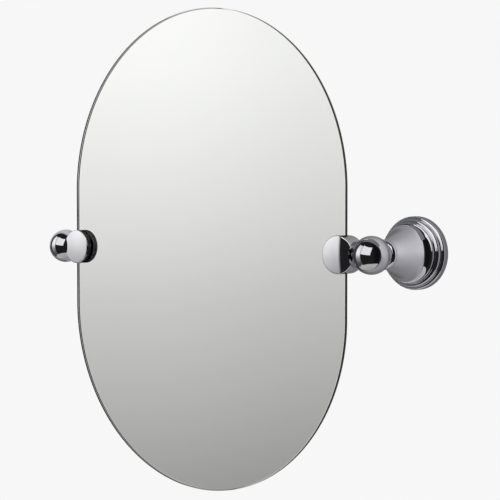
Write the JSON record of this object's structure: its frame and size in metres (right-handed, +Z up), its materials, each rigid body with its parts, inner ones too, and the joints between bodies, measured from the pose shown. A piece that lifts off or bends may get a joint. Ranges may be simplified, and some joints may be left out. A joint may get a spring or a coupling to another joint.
{
  "type": "pivot wall mirror",
  "caption": "Tilting wall mirror: an oblong round-ended pane gripped at both long edges by round chromed clamps that turn on pins in balls on bell-shaped wall flanges.",
  "frame": {"origin": "on the wall plane, midway between the two wall brackets, at the height of the tilt axis", "axes": "+Z up, +Y into the wall, +X to the right of a person who looks into the mirror; the tilt axis runs along X"},
  "size_m": [0.4988, 0.0955, 0.4998],
  "materials": {
    "pane_glass": "polished",
    "silvering": "polished",
    "chrome": "polished",
    "zinc": "satin",
    "steel": "satin",
    "nylon": "matt",
    "soft_pad": "matt"
  },
  "bodies": {
    "brackets": {"right_wall_plate": "zinc", "right_flange": "chrome", "right_set_screw": "steel", "right_post_screw": "steel", "right_spring_washer": "steel", "right_neck_collar": "chrome", "right_ball": "chrome", "right_friction_plug": "nylon", "left_wall_plate": "zinc", "left_flange": "chrome", "left_set_screw": "steel", "left_post_screw": "steel", "left_spring_washer": "steel", "left_neck_collar": "chrome", "left_ball": "chrome", "left_friction_plug": "nylon"},
    "mirror": {"mirror_glass": "pane_glass", "silver_film": "silvering", "right_pivot_pin": "steel", "right_pivot_washer": "nylon", "right_clamp_body": "chrome", "right_clamp_cap": "chrome", "right_clamp_screws": "steel", "right_front_pad": "soft_pad", "right_rear_pad": "soft_pad", "right_edge_pad": "soft_pad", "left_pivot_pin": "steel", "left_pivot_washer": "nylon", "left_clamp_body": "chrome", "left_clamp_cap": "chrome", "left_clamp_screws": "steel", "left_front_pad": "soft_pad", "left_rear_pad": "soft_pad", "left_edge_pad": "soft_pad"}
  },
  "joints": [
    {"name": "mirror_tilt", "type": "hinge", "parent": "brackets", "child": "mirror", "pos_m": [0, -0.077, 0], "axis": [1, 0, 0], "range_deg": [-18, 18]}
  ]
}
